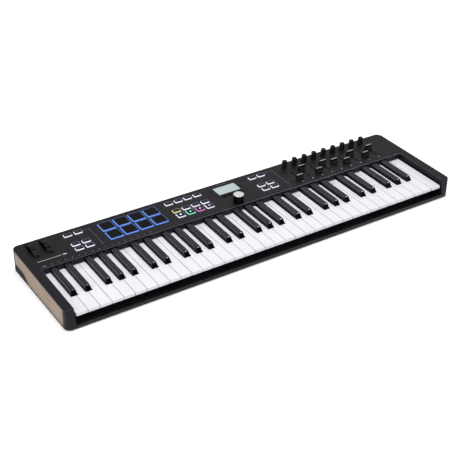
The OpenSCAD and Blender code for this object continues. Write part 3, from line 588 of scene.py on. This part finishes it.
# ---------------------------------------------------------------- CAD nodes: finishes and softened edges
EDGE = {  # bevel width in mm, number of steps
    "top_case": (0.45, 2), "bottom_case": (0.35, 2), "left_wood_panel": (0.5, 3), "right_wood_panel": (0.5, 3),
    "key_frame": (0.25, 1), "wheel_cradle": (0.25, 1), "rubber_feet": (0.6, 2), "screws": (0.12, 1),
    "pitch_wheel": (0.5, 2), "mod_wheel": (0.5, 2), "main_encoder_knob": (0.12, 1),
    "rear_sockets": (0.15, 1), "control_board": (0.1, 1), "main_board": (0.1, 1), "panel_control_bodies": (0.15, 1),
    "display_module": (0.15, 1), "key_contact_board": (0.1, 1), "key_felts": (0.5, 2), "ribbon_cables": (0.1, 1),
    "key_springs": (0.06, 1), "key_pivot_rod": (0.3, 1), "main_encoder_spindle": (0.3, 1),
}
def split_sides():
    """A node group that triangulates every face that doesn't look straight up, so that only the flat tops stay whole."""
    g = bpy.data.node_groups.new("split_sides", "GeometryNodeTree")
    g.interface.new_socket(name="Geometry", in_out="INPUT", socket_type="NodeSocketGeometry")
    g.interface.new_socket(name="Geometry", in_out="OUTPUT", socket_type="NodeSocketGeometry")
    a, b = g.nodes.new("NodeGroupInput"), g.nodes.new("NodeGroupOutput")
    tri, nor = g.nodes.new("GeometryNodeTriangulate"), g.nodes.new("GeometryNodeInputNormal")
    sep, cmp = g.nodes.new("ShaderNodeSeparateXYZ"), g.nodes.new("FunctionNodeCompare")
    cmp.data_type = "FLOAT"
    cmp.operation = "LESS_THAN"
    cmp.inputs[1].default_value = 0.99
    g.links.new(nor.outputs[0], sep.inputs[0])
    g.links.new(sep.outputs[2], cmp.inputs[0])
    g.links.new(cmp.outputs[0], tri.inputs["Selection"])
    g.links.new(a.outputs[0], tri.inputs[0])
    g.links.new(tri.outputs[0], b.inputs[0])
    return g


SIDES = split_sides()
FREE = {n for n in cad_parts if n.endswith("_keys") and "sharp" in n}  # wide enough everywhere for their bevel
for n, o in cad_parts.items():
    slot = o.material_slots[0].material.name.split(".")[0]
    o.material_slots[0].material = LOOK[slot]
    weld = o.modifiers.new("weld", "WELD")
    weld.merge_threshold = 1e-6
    if n in FREE:
        flat = o.modifiers.new("flat_faces", "DECIMATE")
        flat.decimate_type = "DISSOLVE"
        flat.angle_limit = math.radians(0.4)
        o.modifiers.new("triangles", "NODES").node_group = SIDES
    width, steps = EDGE.get(n, (0.35, 2) if slot in ("white_key",) else (0.9, 3) if slot == "black_key" else (0.2, 1))
    bev = o.modifiers.new("edges", "BEVEL")
    bev.width = width * 0.001
    bev.segments = steps
    bev.limit_method = "ANGLE"
    bev.angle_limit = math.radians(32)
    bev.use_clamp_overlap = n not in FREE
    bev.miter_outer = "MITER_SHARP"
    if n == "top_case" or slot == "black_key":
        o.data.materials.append(LOOK["case_edge" if n == "top_case" else "black_edge"])
        bev.material = 1
    if n == "display_buttons":
        o.material_slots[0].material = LOOK["display_button"]
    wn = o.modifiers.new("normals", "WEIGHTED_NORMAL")
    wn.keep_sharp = True
    wn.weight = 100 if n in FREE else 60

# ---------------------------------------------------------------- detailed pieces
def ring(cx, cy, hx, hy, r, z, steps=6):
    """A rounded rectangle as one closed ring of points at height z."""
    r = max(min(r, hx, hy), 0.02)
    out = []
    for qx, qy, a0 in ((1, 1, 0), (-1, 1, 90), (-1, -1, 180), (1, -1, 270)):
        for i in range(steps + 1):
            a = math.radians(a0 + 90 * i / steps)
            out.append((cx + qx * (hx - r) + r * math.cos(a), cy + qy * (hy - r) + r * math.sin(a), z))
    return out


def circle(cx, cy, r, z, n=32):
    return [(cx + r * math.cos(2 * math.pi * i / n), cy + r * math.sin(2 * math.pi * i / n), z) for i in range(n)]


class Piece:
    """Collects closed solids in the panel frame, then makes one mesh object in the row frame."""

    def __init__(s, name, looks):
        s.name, s.looks, s.bm = name, looks, bmesh.new()

    def loft(s, rings, mats=None):
        """Closed solid through the rings, lowest first. mats: one index, or one for each band and then the top and bottom."""
        n = len(rings[0])
        vs = [[s.bm.verts.new(p) for p in q] for q in rings]
        pick = (lambda i: mats[min(i, len(mats) - 1)]) if isinstance(mats, (list, tuple)) else (lambda i: mats or 0)
        for i, (a, b) in enumerate(zip(vs, vs[1:])):
            for k in range(n):
                f = s.bm.faces.new((a[k], a[(k + 1) % n], b[(k + 1) % n], b[k]))
                f.material_index = pick(i)
        top = s.bm.faces.new(vs[-1])
        top.material_index = pick(len(rings) - 1)
        low = s.bm.faces.new(vs[0][::-1])
        low.material_index = pick(0)

    def box(s, x0, x1, y0, y1, z0, z1, mat=0, soft=0.15):
        c, h = ((x0 + x1) / 2, (y0 + y1) / 2), ((x1 - x0) / 2, (y1 - y0) / 2)
        e = min(soft, (z1 - z0) / 3, h[0] / 2, h[1] / 2)
        s.loft([ring(*c, h[0] - e, h[1] - e, e, z0, 2), ring(*c, *h, e, z0 + e, 2), ring(*c, *h, e, z1 - e, 2), ring(*c, h[0] - e, h[1] - e, e, z1, 2)], mat)

    def plate(s, outline, z0, z1, mat=0):
        s.loft([[(x, y, z0) for x, y in outline], [(x, y, z1) for x, y in outline]], mat)

    def done(s, body, *nodes, slot=None, angle=38):
        bmesh.ops.recalc_face_normals(s.bm, faces=s.bm.faces)
        me = bpy.data.meshes.new(s.name)
        s.bm.to_mesh(me)
        s.bm.free()
        me.transform(P2W)
        for look in s.looks:
            me.materials.append(LOOK[look])
        for f in me.polygons:
            f.use_smooth = True
        me.set_sharp_from_angle(angle=math.radians(angle))
        o = bpy.data.objects.new(s.name, me)
        bpy.context.scene.collection.objects.link(o)
        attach(o, body)
        if nodes:
            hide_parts(*nodes)
        return o


# pads: a lit frame with a dark rubber top let into it
pads = Piece("drum_pad_frames", ["blue_light"])
tops = Piece("drum_pad_tops", ["pad_rubber"])
for lo, hi in islands("drum_pads"):
    cx, cy, hx, hy, t = (lo.x + hi.x) / 2, (lo.y + hi.y) / 2, (hi.x - lo.x) / 2, (hi.y - lo.y) / 2, hi.z
    pads.loft([ring(cx, cy, hx - i, hy - i, 1.4 - i * 0.6, z) for i, z in
               ((0, -9.7), (0, t - 1.1), (0.08, t - 0.65), (0.3, t - 0.38), (0.7, t - 0.3), (1.1, t - 0.36), (1.2, t - 0.8))])
    pads.box(cx - hx - 1.1, cx + hx + 1.1, cy - hy + 3, cy + hy - 3, -5.6, -4.2)
    tops.loft([ring(cx, cy, hx - i, hy - i, 1.2 - i * 0.3, z) for i, z in
               ((1.25, t - 0.9), (1.25, t - 0.3), (1.33, t - 0.12), (1.55, t - 0.02), (1.85, t), (3.5, t - 0.06))])
pads.done("drum_pads", "drum_pads", slot="pad_rubber")
tops.done("drum_pads", slot="pad_rubber")


def button_pieces(node, name, light):
    frames = Piece(name + "_frames", ["white_light", "yellow_light", "green_light", "pink_light"])
    caps = Piece(name + "_caps", ["button_plastic", "print_pale", "white_icon", "green_icon", "pink_icon", "print_soft"])
    for lo, hi in islands(node):
        cx, cy, hx, hy, t = (lo.x + hi.x) / 2, (lo.y + hi.y) / 2, (hi.x - lo.x) / 2, (hi.y - lo.y) / 2, hi.z
        k = light(cx, cy)
        frames.loft([ring(cx, cy, hx - i, hy - i, 1.0 - i * 0.3, z) for i, z in
                     ((0, -5), (0, t - 0.9), (0.06, t - 0.5), (0.22, t - 0.25), (0.45, t - 0.18), (0.65, t - 0.25), (0.75, t - 0.6))], k)
        frames.box(cx - hx - 1.1, cx + hx + 1.1, cy - hy + 1.5, cy + hy - 1.5, -5.6, -4.2, k)
        frames.box(cx - 2, cx + 2, cy - 2, cy + 2, -9.7, -5.5, k)
        caps.loft([ring(cx, cy, hx - i, hy - i, 1.0 - i * 0.2, z) for i, z in
                   ((0.8, t - 0.7), (0.8, t - 0.2), (0.9, t - 0.06), (1.15, t), (2.2, t))])
        z0, z1 = t - 0.1, t + 0.03
        if hy > 7:
            m = {0: 2, 2: 3, 3: 4}[k]
            kind = sorted({round((a.x + b.x) / 2) for a, b in islands(node)}).index(round(cx))
            if kind == 0:
                caps.plate([(cx - 1.7, cy - 1.7), (cx + 1.7, cy - 1.7), (cx + 1.7, cy + 1.7), (cx - 1.7, cy + 1.7)], z0, z1, m)
            elif kind == 1:
                caps.plate([(cx - 1.6, cy - 2.1), (cx + 2.2, cy), (cx - 1.6, cy + 2.1)], z0, z1, m)
            elif kind == 2:
                caps.plate([p[:2] for p in circle(cx, cy, 1.9, 0)], z0, z1, m)
            else:
                for side in (-1, 1):
                    arc = [(cx + 2.3 * math.cos(a), cy + 1.9 * math.sin(a)) for a in [math.radians((0 if side > 0 else 180) + 15 + 150 * i / 10) for i in range(11)]]
                    inner = [(cx + 1.6 * math.cos(a), cy + 1.2 * math.sin(a)) for a in [math.radians((0 if side > 0 else 180) + 15 + 150 * i / 10) for i in range(11)]]
                    caps.plate(arc + inner[::-1], z0, z1, m)
        else:
            caps.plate([(cx - 4.6, cy + 0.4), (cx + 1.4, cy + 0.4), (cx + 1.4, cy + 0.9), (cx - 4.6, cy + 0.9)], z0, z1, 5)
            caps.plate([(cx - 4.6, cy - 1.0), (cx - 0.6, cy - 1.0), (cx - 0.6, cy - 0.5), (cx - 4.6, cy - 0.5)], z0, z1, 5)
    frames.done(node, node, slot="button_plastic")
    caps.done(node, slot="button_plastic")


def lit(cx, cy):
    if cy < 175 and -100 < cx < -85:
        return 2
    if cy < 175 and -80 < cx < -60:
        return 3
    if 175 < cy < 190 and cx < -105:
        return 1
    return 0


button_pieces("left_buttons", "left_button", lambda x, y: 0)
button_pieces("transport_buttons", "transport_button", lit)
button_pieces("right_buttons", "right_button", lambda x, y: 0)

# display: one window, black at its border, with the screen behind its middle
lo, hi = (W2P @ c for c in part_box("display_window"))
wcx, wcy = (lo.x + hi.x) / 2, 203.5
whx, why = (hi.x - lo.x) / 2, 29.2 / 2
win = Piece("display_glass", ["window", "screen"])
win.loft([ring(wcx, wcy, whx - i, why - i, 0.4, z, 3) for i, z in ((0, -1.6), (0, -0.3), (0.15, -0.15), (0.95, -0.15))], [0, 0, 0, 1])
win.done("case", "display_window", slot="window")

# fader caps: waisted profile, soft ends, a pale line let into the ridge
PROFILE = [(-5, 1), (-5, 2.3), (-4.75, 2.75), (-3.9, 3.6), (-3.1, 4.8), (-2.6, 6.2), (-2.25, 8), (-2.05, 9.6), (-1.95, 10.6), (-1.75, 11.1), (-1.3, 11.34),
           (-0.75, 11.34), (-0.7, 11.4), (0.7, 11.4), (0.75, 11.34),
           (1.3, 11.34), (1.75, 11.1), (1.95, 10.6), (2.05, 9.6), (2.25, 8), (2.6, 6.2), (3.1, 4.8), (3.9, 3.6), (4.75, 2.75), (5, 2.3), (5, 1)]
for i in range(1, 10):
    (lo, hi), = islands(f"fader_{i}")
    cx, cy, hx = (lo.x + hi.x) / 2, (lo.y + hi.y) / 2, (hi.x - lo.x) / 2
    cap = Piece(f"fader_cap_{i}", ["fader_plastic", "fader_line"])
    n = len(PROFILE)
    rows = []
    for dx, e in ((-hx, 0.4), (-hx + 0.12, 0.12), (-hx + 0.4, 0), (hx - 0.4, 0), (hx - 0.12, 0.12), (hx, 0.4)):
        rows.append([cap.bm.verts.new((cx + dx, cy + y * (1 - e / 5), 1 + e * 0.5 + (z - 1) * (1 - e / 7))) for y, z in PROFILE])
    for a, b in zip(rows, rows[1:]):
        for k in range(n):
            f = cap.bm.faces.new((a[k], b[k], b[(k + 1) % n], a[(k + 1) % n]))
            f.material_index = 1 if 11 <= k <= 13 else 0
    cap.bm.faces.new(rows[0])
    cap.bm.faces.new(rows[-1][::-1])
    cap.box(cx - 0.6, cx + 0.6, cy - 2, cy + 2, -9.4, 2.5)
    cap.done(f"fader_{i}", f"fader_{i}", slot="fader_plastic")

# printed lines and marks on the panel, and the light pipes under the faders
marks = Piece("panel_print", ["print_pale", "print_dim"])
top = 0.0


def bar(x0, x1, y0, y1, mat=0):
    marks.plate([(x0, y0), (x1, y0), (x1, y1), (x0, y1)], top - 0.05, top + 0.03, mat)


bar(139.75, 140.25, 153.7, 219.9, 1)
bar(121, 140.25, 217.8, 218.2, 1)
bar(-291.25, -290.75, 151.8, 216.9, 1)
bar(-304, -290.75, 214.8, 215.2, 1)
bar(-423, -374, 160.1, 160.9)
bar(-371.5, -364, 159.4, 161.8)
bar(-421, -413, 142.1, 142.8)
bar(5, 29, 224.6, 225.3, 1)
for i in range(16):
    marks.plate([p[:2] for p in circle(-402 + 13.75 * i, 142.5, 0.62, 0, 16)], top - 0.05, top + 0.03)
marks.done("case")
pipes = Piece("fader_lights", ["white_light"])
for i in range(9):
    cx = 171.2 + 25.85 * i
    pipes.loft([circle(cx, 148, r, z, 20) for r, z in ((0.7, -0.3), (0.7, 0.05), (0.58, 0.2), (0.3, 0.28))])
pipes.done("case")

# ---------------------------------------------------------------- stage
floor_me = bpy.data.meshes.new("floor")
floor_me.from_pydata([(-40, -40, 0), (40, -40, 0), (40, 40, 0), (-40, 40, 0)], [], [(0, 1, 2, 3)])
floor = bpy.data.objects.new("floor", floor_me)
bpy.context.scene.collection.objects.link(floor)
fm = bpy.data.materials.new("floor_look")
fm.use_nodes = True
fp = fm.node_tree.nodes["Principled BSDF"]
fp.inputs["Base Color"].default_value = (0.92, 0.92, 0.925, 1)
fp.inputs["Roughness"].default_value = 0.9
fp.inputs["Emission Color"].default_value = (1, 1, 1, 1)
fp.inputs["Emission Strength"].default_value = 0.35
floor_me.materials.append(fm)

world = bpy.data.worlds.new("studio")
world.use_nodes = True
bpy.context.scene.world = world
bg = world.node_tree.nodes["Background"]
bg.inputs["Color"].default_value = (0.94, 0.95, 1.0, 1)
bg.inputs["Strength"].default_value = 0.12


def area(name, loc, aim, size, power, col=(1, 1, 1)):
    d = bpy.data.lights.new(name, "AREA")
    d.shape = "RECTANGLE"
    d.size, d.size_y = size
    d.energy = power
    d.color = col
    o = bpy.data.objects.new(name, d)
    bpy.context.scene.collection.objects.link(o)
    v = Vector(aim) - Vector(loc)
    o.matrix_world = Matrix.Translation(loc) @ v.to_track_quat("-Z", "Y").to_matrix().to_4x4()
    return o


area("top_light", (0.0, -0.1, 2.4), (0, 0, 0), (2.8, 1.4), 58)
area("left_light", (-2.1, -0.3, 1.3), (0, 0, 0), (1.0, 1.4), 12)
area("rear_light", (1.3, 1.9, 1.5), (0, 0, 0), (2.4, 1.2), 8)
area("right_light", (1.9, -1.5, 0.9), (0.3, 0, 0), (0.8, 0.8), 2.5)

bpy.context.scene.view_settings.view_transform = "Standard"
